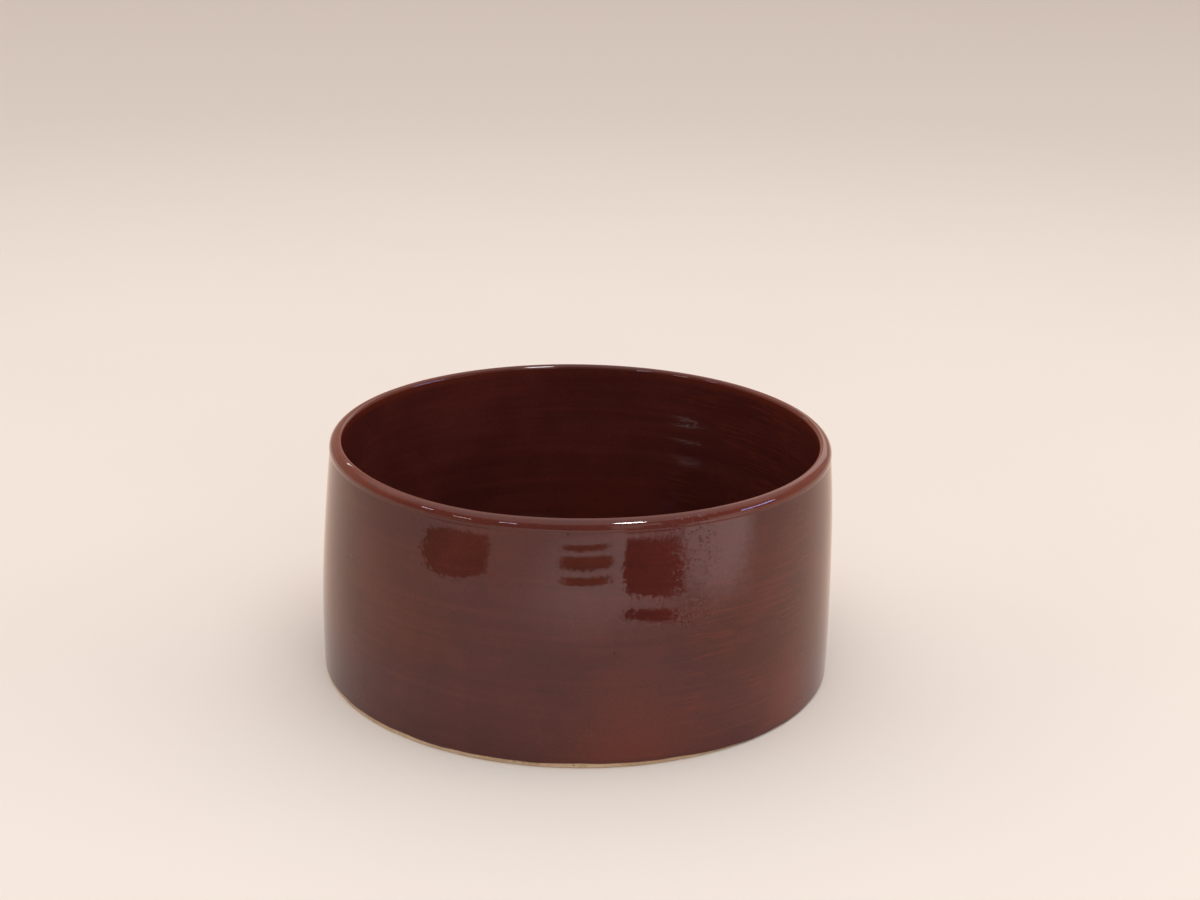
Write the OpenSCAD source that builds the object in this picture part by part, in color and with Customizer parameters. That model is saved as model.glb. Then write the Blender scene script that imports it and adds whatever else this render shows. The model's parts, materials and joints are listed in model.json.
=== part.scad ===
// Wine bottle coaster: a low wheel-thrown stoneware pot with a straight well,
// a wall that swells gently below its rounded lip, a trimmed foot, and a glaze
// coat outside and inside that leaves the foot bare.
// The origin is at the middle of the foot, on the table, with +Z up.

/* [Whole pot] */
// Outside diameter across the lip
rim_d = 99; // [90:0.5:120]
// Height from the table to the top of the lip
height = 47.4; // [38:0.2:80]

/* [Outside wall] */
// How far the wall swells out past the lip at its widest
belly_swell = 1.6; // [0.6:0.1:5]
// Height of the widest place above the table
belly_h = 11; // [4:0.5:20]

/* [Lip] */
// Thickness of the lip with its glaze
lip_t = 2.5; // [2:0.1:4]
// Radius of the tight round on the lip's inner side
lip_in_r = 0.8; // [0.7:0.1:1]
// How far the lip stands out from the wall just under it
lip_proud = 0.2; // [0.1:0.05:0.4]
// Radius of the soft hollow that runs from the lip into the wall
neck_r = 4; // [1:0.5:8]

/* [Well] */
// Height of the glazed floor above the table
floor_h = 6; // [4:0.25:12]
// Radius of the round between the floor and the wall inside
corner_r = 5; // [2:0.25:12]

/* [Foot] */
// Width of the foot ring that stands on the table
foot_w = 7; // [4:0.5:15]
// Depth of the trimmed recess under the floor
recess_depth = 1.5; // [1.3:0.1:2.5]
// Radius of the round at the recess's inner corner
recess_r = 1; // [0.3:0.1:1]
// Bevel round the outer edge of the foot
foot_bevel = 0.2; // [0.1:0.05:0.6]
// Bevel round the inner edge of the foot ring
ring_bevel = 0.3; // [0.1:0.05:0.3]

/* [Glaze] */
// Thickness of the glaze coats
glaze_t = 0.35; // [0.2:0.05:0.6]
// Height of the bare clay between the table and the glaze
bare_h = 0.9; // [0.7:0.05:4]

/* [Hidden] */

// Facets on the whole turn, on the long curve of the wall and on the small rounds
turn_fn = 180;
wall_fn = 720;
round_fn = 72;
// How far a cut runs past what it cuts
overrun = 1;
// How far curves that would only touch run into each other or stop short
hair = 0.004;

rim_r = rim_d / 2;
belly_r = rim_r + belly_swell;
well_r = rim_r - lip_t;

// The lip's two rounds meet on its top, the wide one outside and the tight one inside
lip_out_r = lip_t - lip_in_r;
lip_out_c = [rim_r - lip_out_r, height - lip_out_r];
lip_in_c = [lip_out_c.x, height - lip_in_r];

// The wall is one long arc, upright at the belly, that ends just inside the lip
wall_drop = belly_swell + lip_proud;
wall_rise = lip_out_c.y - belly_h;
wall_r = (wall_drop ^ 2 + wall_rise ^ 2) / (2 * wall_drop);
wall_c = [belly_r - wall_r, belly_h];

// The hollow under the lip touches the lip's outer round and the arc of the wall
neck_c = circles_meet(wall_c, wall_r + neck_r, lip_out_c, lip_out_r + neck_r);
neck_root = along(wall_c, neck_c, wall_r - lip_out_r);

// The outer coat stops square to the clay, and its edge is rolled
clay_wall_r = wall_r - glaze_t;
stop_turn = asin((bare_h + glaze_t - wall_c.y) / clay_wall_r);
stop_c = wall_c + clay_wall_r * [cos(stop_turn), sin(stop_turn)];

// Where the clay's outside meets the table, and the inner edge of the foot ring
foot_edge = wall_c.x + sqrt(clay_wall_r ^ 2 - wall_c.y ^ 2);
recess_edge = foot_edge - foot_w;

// The lower of the two points at distance ra from a and rb from b
function circles_meet(a, ra, b, rb) =
    let (gap = norm(b - a), u = (b - a) / gap, foot = (gap ^ 2 + ra ^ 2 - rb ^ 2) / (2 * gap))
    a + u * foot + [u.y, -u.x] * sqrt(ra ^ 2 - foot ^ 2);

// The point at a distance from a towards b
function along(a, b, distance) = a + (b - a) * distance / norm(b - a);

// Section shapes follow: x is the distance from the pot's axis, y the height

// The outside of the pot, once its surface moves in by inset
module outside_section(inset) {
    translate(wall_c) circle(r = wall_r - inset, $fn = wall_fn);
    translate(lip_out_c) circle(r = lip_out_r - inset, $fn = round_fn);
    difference() {
        polygon([lip_out_c, neck_root, neck_c]);
        translate(neck_c) circle(r = neck_r + inset + hair, $fn = round_fn);
    }
}

// A pocket round the axis that ends in a rounded corner
module pocket_section(reach, depth, corner) {
    square([reach - corner, depth]);
    square([reach, depth - corner]);
    translate([reach - corner, depth - corner]) circle(r = corner, $fn = round_fn);
}

// The hollow of the well up to the lip, once its surface moves out by inset
module well_section(inset) {
    translate([0, lip_in_c.y])
        mirror([0, 1])
            pocket_section(well_r + inset, lip_in_c.y - floor_h + inset, corner_r + inset);
}

// The lip from its widest level up, with a quarter of each round
module lip_cap_section(inset) {
    intersection() {
        translate(lip_out_c) circle(r = lip_out_r - inset, $fn = round_fn);
        translate(lip_out_c) square(lip_out_r);
    }
    intersection() {
        translate(lip_in_c) circle(r = lip_in_r - inset, $fn = round_fn);
        translate([well_r, lip_in_c.y]) square(lip_in_r);
    }
    translate([well_r + inset, lip_out_c.y]) square([lip_in_r - inset, lip_out_r - lip_in_r]);
}

// The pot's floor, wall and lip, with inset taken off inside and outside
module pot_section(inset) {
    difference() {
        intersection() {
            outside_section(inset);
            square([belly_r + overrun, lip_out_c.y]);
        }
        well_section(inset);
    }
    lip_cap_section(inset);
}

module foot_bevel_section() {
    translate([foot_edge, 0])
        polygon([[-foot_bevel, 0], [overrun, 0], [overrun, foot_bevel + overrun], [0, foot_bevel]]);
}

module recess_section() {
    pocket_section(recess_edge, recess_depth, recess_r);
    polygon([[0, 0], [recess_edge + ring_bevel, 0], [recess_edge, ring_bevel], [0, ring_bevel]]);
}

// Both glaze coats as one skin, down to the table
module coat_section() {
    difference() {
        pot_section(0);
        pot_section(glaze_t);
    }
}

// What lies above the line where the outer coat stops
module above_stop_section() {
    translate(wall_c) rotate(stop_turn) square([wall_r + overrun, height + overrun]);
}

// What lies inside the top line of the lip and below its inner round
module inside_of_lip_section() {
    square(lip_in_c);
}

// The rolled lower edge of the outer coat, which runs on up into the coat
module rolled_edge_section() {
    difference() {
        translate(stop_c) circle(r = glaze_t - hair, $fn = round_fn);
        translate(wall_c) circle(r = clay_wall_r, $fn = wall_fn);
    }
}

// The thrown clay: floor, wall, lip and trimmed foot
module stoneware_body() {
    color("#b79b82")
        rotate_extrude($fn = turn_fn)
            difference() {
                pot_section(glaze_t);
                foot_bevel_section();
                recess_section();
            }
}

// The brown coat on the outside wall and over the lip
module outer_glaze() {
    color("#5c2b25")
        rotate_extrude($fn = turn_fn) {
            difference() {
                intersection() {
                    coat_section();
                    above_stop_section();
                }
                inside_of_lip_section();
            }
            rolled_edge_section();
        }
}

// The brown coat inside the well, from under the lip to the floor
module lining_glaze() {
    color("#40201c")
        rotate_extrude($fn = turn_fn)
            intersection() {
                coat_section();
                inside_of_lip_section();
            }
}

stoneware_body();
outer_glaze();
lining_glaze();
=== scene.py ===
"""Looks of the coaster: a low wheel-thrown stoneware pot in a glossy red-brown glaze.

Each piece is a closed surface worked out with numpy: a section through the wall, as distance
from the pot's axis and height, is carried once round the axis and then warped a little by hand
throwing. Lengths are millimetres until they go into a mesh or the camera, but for those of the
lamps and the width of the floor, which are metres.
"""

import json

import bpy
import numpy as np
from mathutils import Matrix, Vector


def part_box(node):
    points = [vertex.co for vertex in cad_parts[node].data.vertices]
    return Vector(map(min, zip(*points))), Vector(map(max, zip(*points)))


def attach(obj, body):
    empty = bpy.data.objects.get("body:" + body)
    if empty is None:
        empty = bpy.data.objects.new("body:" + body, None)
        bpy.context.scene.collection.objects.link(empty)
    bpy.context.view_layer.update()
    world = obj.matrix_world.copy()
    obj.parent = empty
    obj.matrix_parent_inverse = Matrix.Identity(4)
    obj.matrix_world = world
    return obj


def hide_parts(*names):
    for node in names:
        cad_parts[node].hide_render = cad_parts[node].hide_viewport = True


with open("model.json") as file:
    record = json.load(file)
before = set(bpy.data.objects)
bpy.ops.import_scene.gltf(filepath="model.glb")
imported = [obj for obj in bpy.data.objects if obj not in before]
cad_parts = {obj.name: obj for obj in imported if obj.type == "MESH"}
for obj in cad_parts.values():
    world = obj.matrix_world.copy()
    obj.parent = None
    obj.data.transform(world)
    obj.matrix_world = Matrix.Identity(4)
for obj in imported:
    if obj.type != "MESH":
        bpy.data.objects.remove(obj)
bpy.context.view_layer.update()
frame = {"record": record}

MM = 0.001


def top_corner(node):
    """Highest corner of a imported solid, in millimetres."""
    return np.array(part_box(node)[1]) / MM


def upward_mount(kind):
    """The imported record's mount of that kind that faces up."""
    return next(m for m in frame["record"]["mounts"] if m["kind"] == kind and m["axis"][2] > 0)


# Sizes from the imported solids
BELLY_R, _, HEIGHT = top_corner("outer_glaze")
WELL_R = upward_mount("bore")["dims"]["r_mm"]
FLOOR_Z = upward_mount("flat_face")["pos_m"][2] / MM
GLAZE_T = HEIGHT - top_corner("stoneware_body")[2]
SEAM_Z = top_corner("lining_glaze")[2]

# Sizes of the section, as the solids were drawn, but for a slightly shallower and tighter neck
RIM_R = 49.5
BELLY_H = 11.0
LIP_IN_R = 0.8
LIP_PROUD = 0.10
NECK_R = 1.3
CORNER_R = 5.0
FOOT_W = 7.0
RECESS_DEPTH = 1.5
RECESS_R = 1.0
BARE_H = 0.9

# Worn edges of the foot ring, and how far a coat sinks into the clay behind it
FOOT_ROUND = 0.25
RING_ROUND = 0.3
LAP = 0.02

LIP_OUT_R = RIM_R - WELL_R - LIP_IN_R
LIP_OUT_C = np.array([RIM_R - LIP_OUT_R, HEIGHT - LIP_OUT_R])
LIP_IN_C = np.array([LIP_OUT_C[0], HEIGHT - LIP_IN_R])
WALL_DROP = BELLY_R - RIM_R + LIP_PROUD
WALL_RISE = LIP_OUT_C[1] - BELLY_H
WALL_R = (WALL_DROP**2 + WALL_RISE**2) / (2 * WALL_DROP)
WALL_C = np.array([BELLY_R - WALL_R, BELLY_H])
CLAY_WALL_R = WALL_R - GLAZE_T


def circles_meet(a, ra, b, rb):
    """The lower of the two points at distance ra from a and rb from b."""
    gap = np.linalg.norm(b - a)
    along = (b - a) / gap
    foot = (gap**2 + ra**2 - rb**2) / (2 * gap)
    return a + along * foot + np.array([along[1], -along[0]]) * np.sqrt(ra**2 - foot**2)


def heading(a, b):
    """Angle of the way from a to b, in degrees."""
    return np.degrees(np.arctan2(b[1] - a[1], b[0] - a[0]))


NECK_C = circles_meet(WALL_C, WALL_R + NECK_R, LIP_OUT_C, LIP_OUT_R + NECK_R)
WALL_TOP = heading(WALL_C, NECK_C)
STOP_TURN = np.degrees(np.arcsin((BARE_H + GLAZE_T - BELLY_H) / CLAY_WALL_R))
STOP_C = WALL_C + CLAY_WALL_R * np.array([np.cos(np.radians(STOP_TURN)), np.sin(np.radians(STOP_TURN))])
FOOT_EDGE = WALL_C[0] + np.sqrt(CLAY_WALL_R**2 - WALL_C[1] ** 2)
RECESS_EDGE = FOOT_EDGE - FOOT_W

# Runs of points that make up a section


def arc(centre, radius, start, end, steps):
    """Even points on a circle of that radius, from the start angle to the end angle in degrees."""
    turn = np.radians(np.linspace(start, end, steps + 1))
    return np.asarray(centre) + radius * np.column_stack([np.cos(turn), np.sin(turn)])


def line(a, b, steps):
    """Points that share the way from a to b evenly."""
    share = np.linspace(0, 1, steps + 1)[:, None]
    return np.asarray(a) * (1 - share) + np.asarray(b) * share


def join(*runs):
    """The runs one after another, each without its last point, which is the next one's first."""
    return np.vstack([run[:-1] for run in runs[:-1]] + [runs[-1]])


def outside(inset, start, steps):
    """The outside from an angle on the wall's arc to the inner side of the lip, moved in by inset:
    the long arc of the wall, the hollow of the neck, and the lip's wide and tight rounds."""
    wall, neck, wide, tight = steps
    return join(
        arc(WALL_C, WALL_R - inset, start, WALL_TOP, wall),
        arc(NECK_C, NECK_R + inset, WALL_TOP + 180, heading(NECK_C, LIP_OUT_C), neck),
        arc(LIP_OUT_C, LIP_OUT_R - inset, heading(LIP_OUT_C, NECK_C), 90, wide),
        arc(LIP_IN_C, LIP_IN_R - inset, 90, 180, tight),
    )


def inside(inset, steps):
    """The well from under the lip to the axis, moved into the clay by inset: the upright wall,
    the round corner and the flat floor."""
    wall, corner, floor = steps
    reach, low = WELL_R + inset, FLOOR_Z - inset
    corner_c = (WELL_R - CORNER_R, FLOOR_Z + CORNER_R)
    return join(
        line((reach, SEAM_Z), (reach, corner_c[1]), wall),
        arc(corner_c, CORNER_R + inset, 0, -90, corner),
        line((corner_c[0], low), (0, low), floor),
    )


def underside(steps):
    """The foot from the axis outwards: the trimmed recess, its round corner, and the foot ring
    with its two worn edges."""
    recess, corner, inner, ring, outer = steps
    recess_c = (RECESS_EDGE - RECESS_R, RECESS_DEPTH - RECESS_R)
    inner_c = (RECESS_EDGE + RING_ROUND, RING_ROUND)
    outer_c = (FOOT_EDGE - FOOT_ROUND, FOOT_ROUND)
    return join(
        line((0, RECESS_DEPTH), (recess_c[0], RECESS_DEPTH), recess),
        arc(recess_c, RECESS_R, 90, 0, corner),
        arc(inner_c, RING_ROUND, 180, 270, inner),
        line((inner_c[0], 0), (outer_c[0], 0), ring),
        arc(outer_c, FOOT_ROUND, 270, 360, outer),
    )


# How hand throwing bends the plain turned shape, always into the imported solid's box


def ease(value, low, high):
    """0 below low, 1 above high, and a smooth step between them."""
    share = np.clip((value - low) / (high - low), 0, 1)
    return share * share * (3 - 2 * share)


def waves(seed, turn, rise, count, lengths, girth):
    """Sum of count plane waves over the unrolled wall, each cos(cycles * turn + pace * rise + phase),
    their lengths between the two given ones. The sum is divided so that it mostly stays within 1."""
    draw = np.random.default_rng(seed)
    total = np.zeros(np.broadcast(turn, rise).shape)
    drawn_lengths = draw.uniform(*lengths, count)
    ways = draw.uniform(0, 2 * np.pi, count)
    phases = draw.uniform(0, 2 * np.pi, count)
    for length, way, phase in zip(drawn_lengths, ways, phases):
        pace = 2 * np.pi / length
        cycles = round(girth * pace * np.cos(way))
        total += np.cos(cycles * turn + pace * np.sin(way) * rise + phase)
    return total / np.sqrt(2 * count)


# Pitch and depth of the throwing rings outside and in the well, of the spiral on the floor and of
# the turning lines under it
RING_PITCH, RING_DEPTH = 4.6, 0.002
WELL_RING_PITCH, WELL_RING_DEPTH = 6.2, 0.07
SPIRAL_PITCH, SPIRAL_DEPTH = 7.5, 0.12
TRIM_PITCH, TRIM_DEPTH = 1.9, 0.05
# Long low ripples: their depth, how many waves they have, between which lengths, and their seed
RIPPLE_DEPTH, RIPPLE_COUNT, RIPPLE_LENGTHS, RIPPLE_SEED = 0.0015, 40, (7, 22), 11
# How far the wall goes oval and the lip dips at two opposite sides, and where those are
OVAL_DEPTH, OVAL_PHASE = 0.10, 0.7
DIP_DEPTH, DIP_PHASE = 0.08, -0.4
# One low place in the lip: how deep, at which turn in radians, and how narrow
SAG_DEPTH, SAG_TURN, SAG_SPREAD = 0.35, -2.04, 0.09
# How far the lip leans to +X
LEAN = 0.35
# How far the outside stays within the solids, and where it begins, as distances from the axis
CLEARANCE = 0.012
OUTSIDE_FROM, OUTSIDE_TO = WELL_R + 0.5, WELL_R + 1.2
# Heights between which each of these sets in or ends
RIPPLE_START = (1.5, 6)
TRIM_END = (2, 3)
RINGS_START, RINGS_END = (3, 8), (40, 44.5)
SPIRAL_START = (4, 5)
OVAL_START = (6, 30)
LEAN_START = (14, 42)
DIP_START = (36, 47)
# Distances from the axis between which the marks on the floor and the rings in the well do so
FLOOR_START, FLOOR_END = (0, 3), (39, 43)
WELL_RINGS_START = (44, 46.9)


def spiral(turn, along, pitch):
    """A ridge that climbs one pitch a turn: 0 on its crest and 1 in its hollow."""
    return 0.5 - 0.5 * np.cos(2 * np.pi * along / pitch - turn)


def two_sided(turn, phase):
    """1 at two opposite turns, and 0 halfway between them."""
    return 0.5 + 0.5 * np.cos(2 * turn + phase)


def thrown(r, z, turn):
    """Radius and height after the hand's touch. The wall goes slightly oval towards the lip and
    leans a hair to +X there, its outside and its inside carry throwing rings, and long low ripples
    run over the outside. The lip dips a little on two sides, and sags at one place. The floor
    keeps a spiral, and the trimmed recess fine turning lines."""
    outer = ease(r, OUTSIDE_FROM, OUTSIDE_TO)
    body = ease(z, *RINGS_START) * (1 - ease(z, *RINGS_END))
    oval = OVAL_DEPTH * ease(z, *OVAL_START) * two_sided(turn, OVAL_PHASE)
    lean = LEAN * ease(z, *LEAN_START) * np.cos(turn)
    swell = 1 + waves(RIPPLE_SEED, turn, z, RIPPLE_COUNT, RIPPLE_LENGTHS, BELLY_R)
    ripple = RIPPLE_DEPTH * swell * ease(z, *RIPPLE_START)
    rings = RING_DEPTH * spiral(turn, z, RING_PITCH) * body
    well_rings = WELL_RING_DEPTH * spiral(turn, z, WELL_RING_PITCH) * body * ease(r, *WELL_RINGS_START)
    new_r = r - (oval - lean) - outer * (rings + ripple + CLEARANCE) + (1 - outer) * well_rings
    sag = SAG_DEPTH * np.exp((np.cos(turn - SAG_TURN) - 1) / SAG_SPREAD)
    dip = (sag + DIP_DEPTH * two_sided(turn, DIP_PHASE)) * ease(z, *DIP_START)
    on_floor = (1 - ease(r, *FLOOR_END)) * ease(r, *FLOOR_START)
    bowl = SPIRAL_DEPTH * spiral(turn, r, SPIRAL_PITCH) * on_floor * ease(z, *SPIRAL_START)
    trim = TRIM_DEPTH * spiral(turn, r, TRIM_PITCH) * on_floor * (1 - ease(z, *TRIM_END))
    return np.where(r > 0, new_r, 0), z - dip - bowl + trim


# Closed surfaces, and where the outer coat stops round the pot

# Points round the axis, and the turn between two faces from which their edge is sharp
TURNS = 480
SHARP_FROM = np.radians(50)


def link(thing):
    """Puts a new object in the scene and returns it."""
    bpy.context.scene.collection.objects.link(thing)
    return thing


def turned(name, section, warp, is_loop):
    """A closed surface: row i, column j is the section's point i carried j even turns round the
    axis, (r cos t, r sin t, z), with r and z bent by the warp. A section that is a loop closes on
    itself. Any other starts and ends on the axis, in a single point at each end."""
    rows = len(section)
    turn = np.linspace(0, 2 * np.pi, TURNS, endpoint=False)[None, :]
    r, z = warp(section[:, :1], section[:, 1:], turn)
    r, z = np.broadcast_to(r, (rows, TURNS)), np.broadcast_to(z, (rows, TURNS))
    points = np.stack([r * np.cos(turn), r * np.sin(turn), z], axis=-1)
    if is_loop:
        vertices = points.reshape(-1, 3)
        index = np.arange(rows * TURNS).reshape(rows, TURNS)
        index = np.vstack([index, index[:1]])
        fans = []
    else:
        poles = points[[0, -1]].mean(axis=1)
        vertices = np.vstack([points[1:-1].reshape(-1, 3), poles])
        index = np.arange((rows - 2) * TURNS).reshape(rows - 2, TURNS)
        first, last = len(vertices) - 2, len(vertices) - 1
        around = np.roll(index, -1, axis=1)
        fans = [
            np.column_stack([np.full(TURNS, first), around[0], index[0]]),
            np.column_stack([index[-1], around[-1], np.full(TURNS, last)]),
        ]
    around = np.roll(index, -1, axis=1)
    quads = np.stack([index[:-1], around[:-1], around[1:], index[1:]], axis=-1).reshape(-1, 4)
    faces = quads.tolist() + [face for fan in fans for face in fan.tolist()]
    mesh = bpy.data.meshes.new(name)
    mesh.from_pydata(vertices * MM, [], faces)
    mesh.polygons.foreach_set("use_smooth", np.ones(len(mesh.polygons), bool))
    return link(bpy.data.objects.new(name, mesh))


# Turns round the pot and the height of the outer coat's lower edge there, the depth, cycles and
# phase of the waves it wanders by, its least height, and how high up it still moves the coat
EDGE_TURNS = np.radians([-180, -140, -118, -104, -90, -72, -60, -48, -36, 0, 60, 120, 180])
EDGE_HEIGHTS = np.array([0.70, 0.85, 0.80, 0.85, 0.95, 0.80, 0.50, 0.15, 0.10, 0.40, 0.80, 0.75, 0.70])
EDGE_WAVES = [(0.04, 17, 1.0), (0.03, 29, 2.0), (0.02, 53, 0.0)]
EDGE_LEAST, EDGE_REACH = 0.06, 7


def edge_height(turn):
    """Height of the coat's lower edge at a turn, eased between the heights listed round the pot,
    with a small uneven wander."""
    wrapped = (turn + np.pi) % (2 * np.pi) - np.pi
    place = np.clip(np.searchsorted(EDGE_TURNS, wrapped, side="right") - 1, 0, len(EDGE_TURNS) - 2)
    share = ease(wrapped, EDGE_TURNS[place], EDGE_TURNS[place + 1])
    height = EDGE_HEIGHTS[place] * (1 - share) + EDGE_HEIGHTS[place + 1] * share
    wander = sum(depth * np.cos(cycles * turn + phase) for depth, cycles, phase in EDGE_WAVES)
    return np.maximum(height + wander, EDGE_LEAST)


def coat_warp(r, z, turn):
    """The thrown shape, with the coat's lower edge moved up or down to the edge height there. The
    move fades out with height."""
    move = (edge_height(turn) - BARE_H) * (1 - ease(z, BARE_H + GLAZE_T, EDGE_REACH))
    return thrown(r, z + move, turn)


def coat_section():
    """The coat on the outside, as a loop: its rolled lower edge, the outside up and over the lip,
    the seam under the lip, and back down against the clay."""
    back = GLAZE_T + LAP
    front = outside(0, STOP_TURN, (84, 12, 30, 22))
    behind = outside(back, STOP_TURN, (22, 4, 8, 6))[::-1]
    roll = arc(STOP_C, GLAZE_T, STOP_TURN - 90, STOP_TURN, 10)
    return np.vstack([roll[:-1], front, behind])


def lining_section():
    """The coat in the well, from the axis out under it, up behind it, over the seam and down its
    glossy side to the axis."""
    return np.vstack([inside(GLAZE_T + LAP, (16, 6, 6))[::-1], inside(0, (70, 26, 60))])


def clay_section():
    """The clay, from the axis out under the foot, up the outside, over the lip and down into the
    well."""
    start = heading(WALL_C, (FOOT_EDGE, FOOT_ROUND))
    return join(
        underside((64, 8, 6, 12, 6)),
        outside(GLAZE_T, start, (42, 4, 8, 6)),
        inside(GLAZE_T, (18, 6, 12)),
    )


def give(piece, name, values):
    """Keeps one number at each point of a piece, for its material to read."""
    kept = piece.data.attributes.new(name, "FLOAT", "POINT")
    kept.data.foreach_set("value", values.astype(np.float32))


def points_of(piece):
    """The piece's points in millimetres, one row each."""
    flat = np.empty(3 * len(piece.data.vertices))
    piece.data.vertices.foreach_get("co", flat)
    return flat.reshape(-1, 3) / MM


def above_edge(piece):
    """How far each point is above the outer coat's lower edge at its turn."""
    at = points_of(piece)
    return at[:, 2] - edge_height(np.arctan2(at[:, 1], at[:, 0]))


clay = turned("thrown_clay", clay_section(), thrown, False)
coat = turned("outer_coat", coat_section(), coat_warp, True)
lining = turned("well_coat", lining_section(), thrown, False)
for piece in (clay, coat, lining):
    piece.data.set_sharp_from_angle(angle=SHARP_FROM)
    give(piece, "above_edge", above_edge(piece))

# Shader maths


class Value:
    """A number or colour that varies over a surface: the socket that carries it."""

    def __init__(self, recipe, socket):
        self.recipe, self.socket = recipe, socket

    def maths(self, operation, a, b):
        """A Math node on two numbers or values."""
        return self.recipe.node("ShaderNodeMath", {"operation": operation}, {0: a, 1: b})

    def __add__(self, other):
        return self.maths("ADD", self, other)

    def __radd__(self, other):
        return self.maths("ADD", other, self)

    def __sub__(self, other):
        return self.maths("SUBTRACT", self, other)

    def __rsub__(self, other):
        return self.maths("SUBTRACT", other, self)

    def __mul__(self, other):
        return self.maths("MULTIPLY", self, other)

    def __rmul__(self, other):
        return self.maths("MULTIPLY", other, self)

    def __truediv__(self, other):
        return self.maths("DIVIDE", self, other)

    def __rtruediv__(self, other):
        return self.maths("DIVIDE", other, self)

    def __gt__(self, other):
        return self.maths("GREATER_THAN", self, other)

    def __lt__(self, other):
        return self.maths("LESS_THAN", self, other)


class Recipe:
    """The nodes that make up a material or the world."""

    def __init__(self, owner):
        self.owner = owner
        owner.use_nodes = True
        self.tree = owner.node_tree
        self.tree.nodes.clear()

    def node(self, kind, settings=None, inputs=None, output=0):
        """Adds a node, sets its settings, then gives its sockets values or links."""
        made = self.tree.nodes.new(kind)
        for key, value in (settings or {}).items():
            setattr(made, key, value)
        for key, value in (inputs or {}).items():
            if isinstance(value, Value):
                self.tree.links.new(value.socket, made.inputs[key])
            else:
                made.inputs[key].default_value = value
        return Value(self, made.outputs[output]) if made.outputs else None

    def place(self):
        """Where a point is in the pot's own space, in millimetres."""
        where = self.node("ShaderNodeTexCoord", output="Object")
        return self.scaled(where, (1 / MM, 1 / MM, 1 / MM))

    def scaled(self, vector, by):
        """The vector times the other one, each coordinate with its own."""
        return self.node("ShaderNodeVectorMath", {"operation": "MULTIPLY"}, {0: vector, 1: by})

    def part(self, vector, axis):
        """The vector's X, Y or Z."""
        return self.node("ShaderNodeSeparateXYZ", inputs={0: vector}, output=axis)

    def noise(self, vector, scale, detail=2.0, roughness=0.5):
        """Soft noise round 0.5, with that many cycles in one unit of the vector."""
        sizes = {"Vector": vector, "Scale": scale, "Detail": detail, "Roughness": roughness}
        return self.node("ShaderNodeTexNoise", {"noise_dimensions": "3D"}, sizes, output=0)

    def distance(self, vector, spot=(0, 0, 0)):
        """How far a point is from a spot, both in millimetres."""
        ends = {0: vector, 1: spot}
        return self.node("ShaderNodeVectorMath", {"operation": "DISTANCE"}, ends, output="Value")

    def stored(self, name):
        """A number kept at the piece's points."""
        return self.node("ShaderNodeAttribute", {"attribute_name": name}, output="Fac")

    def step(self, value, low, high, start=0.0, end=1.0):
        """A smooth step from start at low to end at high."""
        spans = {"Value": value, "From Min": low, "From Max": high, "To Min": start, "To Max": end}
        return self.node("ShaderNodeMapRange", {"interpolation_type": "SMOOTHSTEP"}, spans)

    def blend(self, share, a, b):
        """Colour a where the share is 0 and colour b where it is 1."""
        colours = {"Factor": share, 6: a, 7: b}
        return self.node("ShaderNodeMix", {"data_type": "RGBA"}, colours, output=2)

    def relief(self, strength, height):
        """The normal of a surface that is raised by that height in millimetres."""
        sizes = {"Strength": strength, "Distance": MM, "Height": height}
        return self.node("ShaderNodeBump", inputs=sizes, output="Normal")

    def finish(self, **sockets):
        """Ends in one surface shader with those values, and returns the material."""
        named = {key.replace("_", " "): value for key, value in sockets.items()}
        shader = self.node("ShaderNodeBsdfPrincipled", inputs=named)
        self.node("ShaderNodeOutputMaterial", inputs={"Surface": shader})
        return self.owner


def colour(red, green, blue):
    """An opaque colour, as a shader takes it."""
    return (red, green, blue, 1.0)


# Glaze

# The deepest tone is the glaze's own, and is also painted as shade just above the coat's lower edge
DEEP_GLAZE_AND_SHADE = colour(0.079, 0.0158, 0.0131)
BODY_GLAZE = colour(0.104, 0.0206, 0.0163)
RED_GLAZE = colour(0.158, 0.0275, 0.0135)
THIN_GLAZE = colour(0.148, 0.0262, 0.0140)
SPECK_GLAZE = colour(0.022, 0.0070, 0.0060)
# Middle of each redder flush in the glaze, how far it spreads and how strong it is
FLUSHES = [
    ((9, -50, 0), 18, 0.75),
    ((40, -31, 5), 16, 0.85),
    ((-12, -48, 41), 12, 0.3),
    ((-44, 24, 8), 20, 0.7),
    ((6, 51, 12), 22, 0.6),
]
FLUSH_WANDER = 14
# Cycles per millimetre of the clouds, of the haze and the edges of the flushes, of the iron grain
# and of the pits, and, along X, Y and Z, of the level streaks, lines and brush strokes
CLOUDS, HAZE, GRAIN, PITS = 0.055, 0.09, 2.4, 1.6
STREAKS, LINES, STROKES = (0.02, 0.02, 0.55), (0.03, 0.03, 0.75), (0.10, 0.10, 1.9)
# Heights between which the glaze thins over the lip, and how far to the side it thins more
THIN_RISE, THIN_SIDE = (44.9, 46.4), (12, 36)
# Size of the cells that may each hold a speck or a pinhole, and the shares of them that do
CELL, SPECK_SHARE, PIN_SHARE = 1.7, 0.10, 0.012
STROKE_DEPTH, PIN_DEPTH = 0.0030, 0.10
# Where the brush lines set in along X, and where the patch of pits does along Y, along Z, and
# along X from its left and from its right
BRUSHED_X = (15, 23)
PITTED_Y, PITTED_Z = (-25, -35), (24, 30)
PITTED_LEFT, PITTED_RIGHT = (15, 19), (30, 21)
# Roughness of the glossiest and of the dullest glaze, outside and in the well
COAT_SHEEN, WELL_SHEEN = (0.020, 0.040), (0.070, 0.110)
GLAZE_IOR = 1.43


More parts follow.
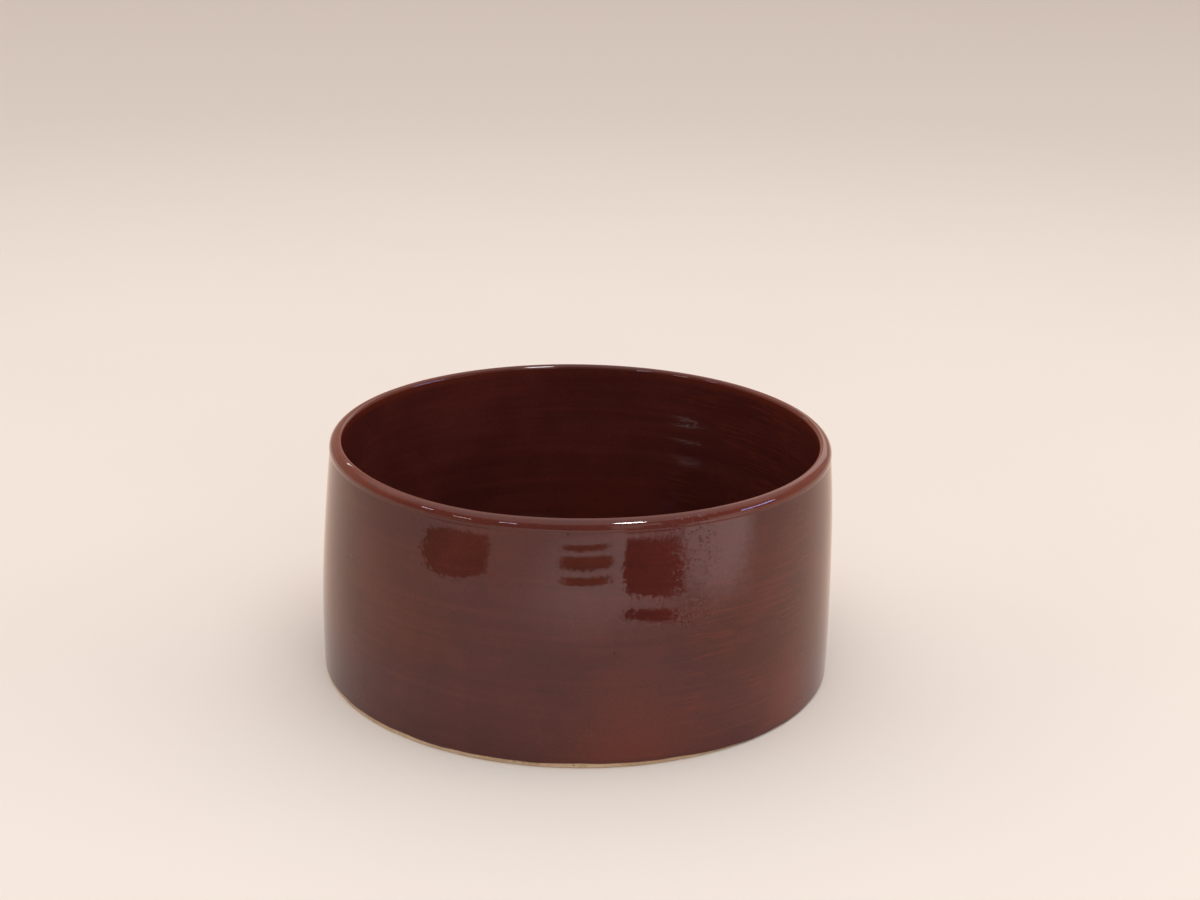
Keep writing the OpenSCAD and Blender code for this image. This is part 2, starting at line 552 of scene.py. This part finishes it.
def glaze_ground(r, where):
    """Soft clouds and faint level streaks, a few redder flushes, and fine level lines, some redder
    and some darker."""
    clouds = r.noise(where, CLOUDS, 3.0, 0.55)
    streaks = r.noise(r.scaled(where, STREAKS), 1.0, 3.0, 0.6)
    mottle = r.step(0.7 * clouds + 0.3 * streaks, 0.40, 0.62)
    base = r.blend(mottle, DEEP_GLAZE_AND_SHADE, BODY_GLAZE)
    for middle, spread, strength in FLUSHES:
        far = r.distance(where, middle) + (r.noise(where, HAZE, 2.0) - 0.5) * FLUSH_WANDER
        base = r.blend(r.step(far, spread, 0) * strength, base, RED_GLAZE)
    lines = r.noise(r.scaled(where, LINES), 1.0, 2.0, 0.6)
    base = r.blend(r.step(lines, 0.55, 0.72) * 0.15, base, RED_GLAZE)
    return r.blend(r.step(lines, 0.45, 0.28) * 0.12, base, SPECK_GLAZE)


def thin_lip_thick_roll_and_shade(r, where, base):
    """The glaze thinner and redder over the lip, most of all at the pot's sides, and darker just
    above its lower edge: partly the deeper tone of its thick roll, partly painted shade there."""
    side = r.step(r.distance(r.scaled(where, (1, 0, 0))), *THIN_SIDE, 0.30, 1.0)
    broken = r.step(r.noise(where, 0.35, 2.0), 0.25, 0.60, 0.65, 1.0)
    lip = r.step(r.part(where, "Z"), *THIN_RISE) * broken
    base = r.blend(lip * side, base, THIN_GLAZE)
    edge = r.stored("above_edge")
    # Painted shade, partly the thick glaze's own deeper tone: a dark band just above the coat's lower
    # edge
    roll = r.step(edge, 1.3, 0.3) * r.step(edge, -0.2, 0.1)
    return r.blend(roll * 0.6, base, DEEP_GLAZE_AND_SHADE)


def specks_and_pins(r, where):
    """Where the small dark specks are, and where the few pinholes are."""
    cells = {"Vector": where, "Scale": 1 / CELL, "Randomness": 1.0}
    near = r.node("ShaderNodeTexVoronoi", {"feature": "F1"}, cells, output="Distance") * CELL
    pick = r.node("ShaderNodeTexVoronoi", {"feature": "F1"}, cells, output="Color")
    chosen = r.node("ShaderNodeSeparateColor", inputs={0: pick}, output="Red")
    speck = r.step(near, 0.30, 0.10) * (chosen > 1 - SPECK_SHARE)
    pin = r.step(near, 0.26, 0.06) * (chosen < PIN_SHARE)
    return speck, pin


def brush_lines(r, where):
    """Level strokes all over, and how much of them shows: on one side, in broad patches."""
    strokes = r.noise(r.scaled(where, STROKES), 1.0, 2.0, 0.6)
    patches = r.step(r.noise(where, 0.08, 2.0), 0.40, 0.60)
    return strokes, r.step(r.part(where, "X"), *BRUSHED_X) * patches


def dull_pits(r, where):
    """Fine pits in one patch of the front."""
    right, front, height = (r.part(where, axis) for axis in "XYZ")
    patch = r.step(front, *PITTED_Y) * r.step(height, *PITTED_Z)
    patch = patch * r.step(right, *PITTED_LEFT) * r.step(right, *PITTED_RIGHT)
    return r.step(r.noise(r.scaled(where, (1.0, 1.0, 1.5)), PITS, 1.0), 0.56, 0.64) * patch


def glaze(name, smooth, dull):
    """Red-brown iron glaze: its clouded ground, thin over the lip and thick at the edge, darkened there
    partly by painted shade, with a fine iron grain, small dark specks, a few pinholes and brush lines.
    The gloss has a very slight orange-peel ripple, a roughness that drifts from smooth to dull, and a
    patch of dull pits."""
    r = Recipe(bpy.data.materials.new(name))
    where = r.place()
    base = thin_lip_thick_roll_and_shade(r, where, glaze_ground(r, where))
    grain = r.step(r.noise(where, GRAIN, 2.0, 0.6), 0.42, 0.58)
    speck, pin = specks_and_pins(r, where)
    for share in (grain * 0.16, speck * 0.35, pin * 0.9):
        base = r.blend(share, base, SPECK_GLAZE)
    strokes, shown = brush_lines(r, where)
    base = r.blend(r.step(strokes, 0.50, 0.62) * shown * 0.45, base, RED_GLAZE)
    peel = r.noise(where, 1.3, 1.0, 0.5) * 0.0006 + r.noise(where, 0.35, 1.0) * 0.0015
    bump = r.relief(1.0, peel + strokes * shown * STROKE_DEPTH - pin * PIN_DEPTH)
    haze = r.noise(where, HAZE, 3.0, 0.6)
    sheen = r.step(haze, 0.35, 0.65, smooth, dull) + dull_pits(r, where) * 0.5
    return r.finish(Base_Color=base, Roughness=sheen, Normal=bump, IOR=GLAZE_IOR)


# Bare clay

LIGHT_CLAY = colour(0.69, 0.50, 0.335)
TAN_CLAY = colour(0.56, 0.38, 0.233)
# The flashed tone is the clay's own under the glaze, and is also painted as contact shade at the foot's
# bottom edge
FLASHED_CLAY_AND_SHADE = colour(0.354, 0.186, 0.098)
GROG = colour(0.16, 0.085, 0.050)
SAND = colour(0.72, 0.58, 0.42)
# Cycles per millimetre of the mottling, the grog and the sand, the heights between which painted
# contact shade darkens the bottom of the foot, and the depth of the pale and dark grains
MOTTLING, GROG_SIZE, SAND_SIZE = 0.16, 2.6, 3.4
CONTACT_SHADE_RISE = (0.16, 0.02)
GRAIN_DEPTH = 0.02
CLAY_ROUGHNESS, CLAY_IOR = 0.88, 1.45


def bare_clay(name):
    """Fired stoneware, matt and gritty: a tan ground with dark iron grog and pale sand, browner in a
    thin band right under the glaze, darkened by painted contact shade at its very bottom, with pitted
    relief."""
    r = Recipe(bpy.data.materials.new(name))
    where = r.place()
    ground = r.blend(r.step(r.noise(where, MOTTLING, 4.0, 0.6), 0.38, 0.62), TAN_CLAY, LIGHT_CLAY)
    edge = r.stored("above_edge")
    flash = r.step(edge, -0.30, 0.0) * r.step(r.noise(where, 0.5, 2.0), 0.35, 0.65, 0.4, 1.0)
    ground = r.blend(flash * 0.7, ground, FLASHED_CLAY_AND_SHADE)
    dark = r.step(r.noise(where, GROG_SIZE, 2.0, 0.5), 0.64, 0.72)
    pale = r.step(r.noise(r.scaled(where, (1.0, 1.1, 0.9)), SAND_SIZE, 2.0, 0.5), 0.64, 0.72)
    ground = r.blend(dark * 0.7, ground, GROG)
    ground = r.blend(pale * 0.5, ground, SAND)
    # Painted contact shade: the foot's bottom edge darkened towards the flashed tone
    contact_shade = r.step(r.part(where, "Z"), *CONTACT_SHADE_RISE)
    ground = r.blend(contact_shade * 0.35, ground, FLASHED_CLAY_AND_SHADE)
    grit = r.noise(where, 3.2, 4.0, 0.65) * 0.05 + r.noise(where, 0.8, 2.0) * 0.03
    bump = r.relief(0.8, grit + pale * GRAIN_DEPTH - dark * GRAIN_DEPTH)
    return r.finish(Base_Color=ground, Roughness=CLAY_ROUGHNESS, Normal=bump, IOR=CLAY_IOR)


coat.data.materials.append(glaze("brown_glaze_finish", *COAT_SHEEN))
lining.data.materials.append(glaze("well_glaze_finish", *WELL_SHEEN))
clay.data.materials.append(bare_clay("fired_clay_finish"))

for piece, node, slot in (
    (clay, "stoneware_body", "fired_clay"),
    (coat, "outer_glaze", "brown_glaze"),
    (lining, "lining_glaze", "lining_glaze"),
):
    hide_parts(node)
    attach(piece, "root")

# Floor

# Half the floor's width in metres
FLOOR_HALF = 4.0
FLOOR_COLOUR = colour(0.91, 0.850, 0.790)
FLOOR_SHADE = colour(0.88, 0.820, 0.760)
FAR_FLOOR_SHADE = colour(0.77, 0.710, 0.660)
# How far out the floor takes its far tone, a painted shade for light falling off with distance
FAR_SHADE_FROM, FAR_SHADE_TO = 250, 750
# What gloss finds on the floor: a warm tone, from so far to the side and from such a Y backwards,
# and a dim one far in front, from so far out and so straight ahead
WARM_FLOOR = colour(0.99, 0.80, 0.67)
DIM_FLOOR = colour(0.14, 0.12, 0.10)
WARM_ASIDE, WARM_FORWARD = (45, 80), (-120, -60)
DIM_FROM, DIM_TO = 288, 312
DIM_AHEAD = (-0.60, -0.75)
BACKDROP = colour(0.83, 0.76, 0.69)


def make_floor():
    """A level sheet under the pot, much wider than the view, pale and matt, with painted shade far out.
    """
    mesh = bpy.data.meshes.new("floor")
    corners = [(x * FLOOR_HALF, y * FLOOR_HALF, 0) for x, y in ((-1, -1), (1, -1), (1, 1), (-1, 1))]
    mesh.from_pydata(corners, [], [[0, 1, 2, 3]])
    floor = link(bpy.data.objects.new("floor", mesh))
    r = Recipe(bpy.data.materials.new("floor_finish"))
    where = r.place()
    tone = r.blend(r.noise(where, 0.012, 2.0), FLOOR_SHADE, FLOOR_COLOUR)
    aside = r.step(r.distance(r.scaled(where, (1, 0, 0))), *WARM_ASIDE)
    far = r.distance(where)
    # Painted shade: the floor darker far out, as light falls off with distance
    tone = r.blend(r.step(far, FAR_SHADE_FROM, FAR_SHADE_TO), tone, FAR_FLOOR_SHADE)
    forward = r.part(where, "Y")
    ahead = r.step(forward / far, *DIM_AHEAD)
    mirrored = r.blend(aside * r.step(forward, *WARM_FORWARD), tone, WARM_FLOOR)
    mirrored = r.blend(r.step(far, DIM_FROM, DIM_TO) * ahead, mirrored, DIM_FLOOR)
    glossy_ray = r.node("ShaderNodeLightPath", output="Is Glossy Ray")
    shown = r.blend(glossy_ray, tone, mirrored)
    floor.data.materials.append(r.finish(Base_Color=shown, Roughness=0.95, IOR=1.3))


# Studio cards on the floor, which only gloss sees

BLACK = colour(0.03, 0.02, 0.02)
OLIVE = colour(0.02, 0.15, 0.08)
AMBER = colour(0.25, 0.155, 0.05)
BRIGHT = colour(1.80, 1.45, 1.38)
PALE = colour(2.35, 1.90, 1.80)
# Height of the lowest card above the floor, and of each card above the next one down
CARD_LIFT, CARD_STEP = 0.1, 0.03
# Cycles of the fine stipple per millimetre, and where it has changed to its second strength, as a
# share of the way from a card's middle to its right end
STIPPLE, STIPPLE_END = 0.28, 0.6


def bar(middle, half_length, half_width, tilt, points=24, order=5):
    """Outline of a flat bar with rounded corners, turned by the tilt in degrees:
    |along / half_length|^order + |across / half_width|^order = 1."""
    turn = np.linspace(0, 2 * np.pi, points, endpoint=False)
    along = half_length * np.sign(np.cos(turn)) * np.abs(np.cos(turn)) ** (2 / order)
    across = half_width * np.sign(np.sin(turn)) * np.abs(np.sin(turn)) ** (2 / order)
    c, s = np.cos(np.radians(tilt)), np.sin(np.radians(tilt))
    return np.column_stack([middle[0] + along * c - across * s, middle[1] + along * s + across * c])


FRONT_CARD = [
    (88, -262), (114, -251), (141, -228), (168, -198), (140, -161), (116, -139),
    (99, -122), (83, -131), (66, -146), (50, -159), (58, -194), (74, -233),
]
LEFT_CARD = [
    (-206, -108), (-207, -150), (-181, -191), (-156, -216), (-131, -193),
    (-112, -160), (-118, -131), (-132, -106), (-146, -91), (-172, -87),
]
# Name, outline on the floor and tone. Then, as shares of the way from the card's middle to its
# outline: how soft and how ragged its edge is, and how stippled it is left of its middle and near
# its right end. Last, the cycles of the ragged edge per millimetre.
CARDS = [
    ("front_card", FRONT_CARD, BLACK, 0.03, 0.45, (0.40, 2.00), 0.20),
    ("front_strip", bar((60, -124), 22, 5.6, 38), BLACK, 0.20, 1.6, (1.6, 2.2), 0.20),
    ("slat_far", bar((12, -258), 40, 7.2, 2), AMBER, 0.25, 0.50, (1.0, 1.0), 0.14),
    ("slat_middle", bar((12, -225), 40, 16, 3), AMBER, 0.12, 0.30, (0.6, 0.6), 0.14),
    ("slat_near", bar((10, -191), 30, 8, 3), AMBER, 0.25, 0.50, (1.0, 1.0), 0.14),
    ("left_card", LEFT_CARD, OLIVE, 0.04, 0.85, (0.45, 0.35), 0.16),
    ("front_glow", bar((60, -210), 105, 75, 0), BRIGHT, 0.45, 0.30, (0.2, 0.2), 0.10),
    ("right_glow", bar((184, -140), 70, 70, 0), PALE, 0.35, 0.40, (0.7, 0.2), 0.12),
]


def card_finish(name, across, tone, soft, ragged, stipple, grain):
    """An even glow of that tone that ends at the card's outline, where the reach kept at the
    points is 1, in an edge as soft and as ragged as it is told. A fine stipple in it changes from
    its first to its second strength between the two places across."""
    r = Recipe(bpy.data.materials.new(name + "_finish"))
    where = r.place()
    fine = (r.noise(where, STIPPLE, 2.0, 0.6) - 0.5) * r.step(r.part(where, "X"), *across, *stipple)
    reach = r.stored("reach") + (r.noise(where, grain, 3.0, 0.6) - 0.5) * ragged + fine
    clear = r.node("ShaderNodeBsdfTransparent")
    glow = r.node("ShaderNodeEmission", inputs={"Color": tone, "Strength": 1.0})
    beyond = r.step(reach, 1 - soft, 1 + soft)
    both = r.node("ShaderNodeMixShader", inputs={0: beyond, 1: glow, 2: clear})
    r.node("ShaderNodeOutputMaterial", inputs={"Surface": both})
    return r.owner


def make_card(place_up, name, outline, tone, soft, ragged, stipple, grain):
    """A studio card on the floor that only shows as a reflection in the glaze: a fan of triangles
    from its middle past its outline, with the reach kept at each point: 0 in the middle and 1 on
    the outline."""
    past = 1 + soft + (ragged + max(stipple)) / 4
    rim = np.array(outline, float)
    middle = rim.mean(axis=0)
    points = np.vstack([middle + (rim - middle) * past, middle])
    lift = np.full((len(points), 1), CARD_LIFT + CARD_STEP * place_up)
    last = len(rim)
    mesh = bpy.data.meshes.new(name)
    fan = [[i, (i + 1) % last, last] for i in range(last)]
    mesh.from_pydata(np.hstack([points, lift]) * MM, [], fan)
    card = link(bpy.data.objects.new(name, mesh))
    give(card, "reach", np.append(np.full(last, past), 0))
    half = np.ptp(rim[:, 0]) / 2
    across = (middle[0], middle[0] + STIPPLE_END * half)
    card.data.materials.append(card_finish(name, across, tone, soft, ragged, stipple, grain))
    card.visible_camera = card.visible_diffuse = card.visible_shadow = False
    card.visible_transmission = card.visible_volume_scatter = False


# World and lamps

SKY_HIGH = colour(1.08, 1.06, 1.05)
SKY_WALL = colour(1.12, 0.98, 0.90)
STUDIO_FRONT = colour(0.22, 0.20, 0.18)
STUDIO_BACK = colour(0.70, 0.43, 0.34)
# Where the world turns from its front to its back, along a ray's Y, and from its foot to what is
# above it, along the ray's Z
BACK_START = (-0.25, 0.35)
FRONT_CEILING, BACK_WALL, BACK_CEILING = (0.70, 0.88), (0.46, 0.66), (0.6, 0.9)


def make_world():
    """A pale ceiling of light over a dim studio in front and a pale wall, warm at its foot, at the
    sides and behind. A camera ray past the floor's edge meets the floor's own colour."""
    r = Recipe(bpy.data.worlds.new("sky"))
    way = r.node("ShaderNodeTexCoord", output="Generated")
    back = r.step(r.part(way, "Y"), *BACK_START)
    up = r.part(way, "Z")
    front_light = r.blend(r.step(up, *FRONT_CEILING), STUDIO_FRONT, SKY_HIGH)
    wall_light = r.blend(r.step(up, *BACK_CEILING), SKY_WALL, SKY_HIGH)
    back_light = r.blend(r.step(up, *BACK_WALL), STUDIO_BACK, wall_light)
    light = r.blend(back, front_light, back_light)
    lit = r.node("ShaderNodeBackground", inputs={"Color": light, "Strength": 1.0})
    seen = r.node("ShaderNodeBackground", inputs={"Color": BACKDROP, "Strength": 1.0})
    camera_ray = r.node("ShaderNodeLightPath", output="Is Camera Ray")
    both = r.node("ShaderNodeMixShader", inputs={0: camera_ray, 1: lit, 2: seen})
    r.node("ShaderNodeOutputWorld", inputs={"Surface": both})
    bpy.context.scene.world = r.owner


def direction(azimuth, elevation):
    """The way from the pot towards a lamp. Azimuth 0 is the camera's side, 90 is to the right."""
    a, e = np.radians([azimuth, elevation])
    return Vector((np.sin(a) * np.cos(e), -np.cos(a) * np.cos(e), np.sin(e)))


def make_lamp(name, azimuth, elevation, distance, size, radiance, tint, matt, gloss):
    """A soft rectangular lamp that faces the lip and stays out of the camera's sight. It lights
    matt surfaces, shows in glossy ones, or does both."""
    lamp = bpy.data.lights.new(name, "AREA")
    lamp.shape, lamp.size, lamp.size_y = "RECTANGLE", size[0], size[1]
    lamp.energy = radiance * np.pi * size[0] * size[1]
    lamp.color = tint
    holder = link(bpy.data.objects.new(name, lamp))
    way = direction(azimuth, elevation)
    holder.location = way * distance + Vector((0, 0, HEIGHT * MM))
    holder.rotation_mode = "QUATERNION"
    holder.rotation_quaternion = way.to_track_quat("Z", "Y")
    holder.visible_camera = False
    holder.visible_diffuse, holder.visible_glossy = matt, gloss


WHITE = (1.0, 1.0, 1.0)
COOL = (0.80, 0.78, 1.0)
BLUE = (0.30, 0.45, 1.0)
WARM = (1.0, 0.90, 0.80)
# Name, azimuth, elevation, distance in metres, width and height in metres, radiance, tint,
# whether it lights matt surfaces and whether gloss mirrors it
LAMPS = [
    ("top_softbox", 20, 80, 1.2, (1.0, 0.8), 0.8, WHITE, True, False),
    ("front_softbox", 10, 22, 1.2, (1.2, 0.6), 1.5, WHITE, True, False),
    ("right_softbox", 85, 25, 1.2, (1.0, 0.6), 1.1, WHITE, True, False),
    ("left_softbox", -85, 25, 1.2, (1.0, 0.6), 0.9, WHITE, True, False),
    ("right_screen", 68, 4, 1.2, (0.50, 0.24), 1.2, WHITE, False, True),
    ("overhead_panel", 33, 61, 1.2, (0.19, 0.17), 80, WHITE, False, True),
    ("upper_screen", 25, 27, 1.2, (0.45, 0.50), 0.9, WARM, False, True),
    ("lower_screen", 20, 5, 1.2, (0.28, 0.36), 0.9, WARM, False, True),
    ("back_screen", 160, 24, 1.2, (0.46, 0.50), 0.75, WHITE, False, True),
    ("right_panel", 85, 18, 1.3, (0.44, 0.10), 24, BLUE, False, True),
    ("left_panel", -75, 32, 1.3, (0.13, 0.05), 28, COOL, False, True),
    ("left_lamp", -53, 22, 1.3, (0.18, 0.05), 20, WARM, False, True),
    ("front_left_panel", -34, 33, 1.3, (0.16, 0.05), 34, COOL, False, True),
    ("back_lamp", -158, 26.2, 1.4, (0.16, 0.012), 16, WHITE, False, True),
]

# Camera

# Its place in millimetres, its turns in radians, its lens and sensor in millimetres, and how near
# and how far it sees in metres
CAMERA_HEIGHT = 169.9552
CAMERA_BACK = 371.1312
CAMERA_PITCH = 0.3276604
CAMERA_YAW = 0.01122196
CAMERA_ROLL = 0.01996556
CAMERA_LENS = 59.3126
SENSOR = 36.0
SEES_FROM, SEES_TO = 0.01, 50


def make_camera():
    """The camera at the photograph's viewpoint: its height, distance, tilt and slight lean were
    fitted to the rim, the sides and the foot."""
    data = bpy.data.cameras.new("camera")
    data.lens, data.sensor_width, data.sensor_fit = CAMERA_LENS, SENSOR, "HORIZONTAL"
    data.clip_start, data.clip_end = SEES_FROM, SEES_TO
    camera = link(bpy.data.objects.new("camera", data))
    level = Vector((np.cos(CAMERA_YAW), -np.sin(CAMERA_YAW), 0))
    reach = np.cos(CAMERA_PITCH)
    ahead = Vector((np.sin(CAMERA_YAW) * reach, np.cos(CAMERA_YAW) * reach, -np.sin(CAMERA_PITCH)))
    upward = level.cross(ahead)
    right = level * np.cos(CAMERA_ROLL) + upward * np.sin(CAMERA_ROLL)
    top = upward * np.cos(CAMERA_ROLL) - level * np.sin(CAMERA_ROLL)
    turn = Matrix((right, top, -ahead)).transposed().to_4x4()
    camera.matrix_world = Matrix.Translation(Vector((0, -CAMERA_BACK, CAMERA_HEIGHT)) * MM) @ turn
    bpy.context.scene.camera = camera


# The scene put together

make_floor()
for place_up, card_facts in enumerate(reversed(CARDS)):
    make_card(place_up, *card_facts)
make_world()
for lamp_facts in LAMPS:
    make_lamp(*lamp_facts)
make_camera()
bpy.context.scene.view_settings.view_transform = "Standard"
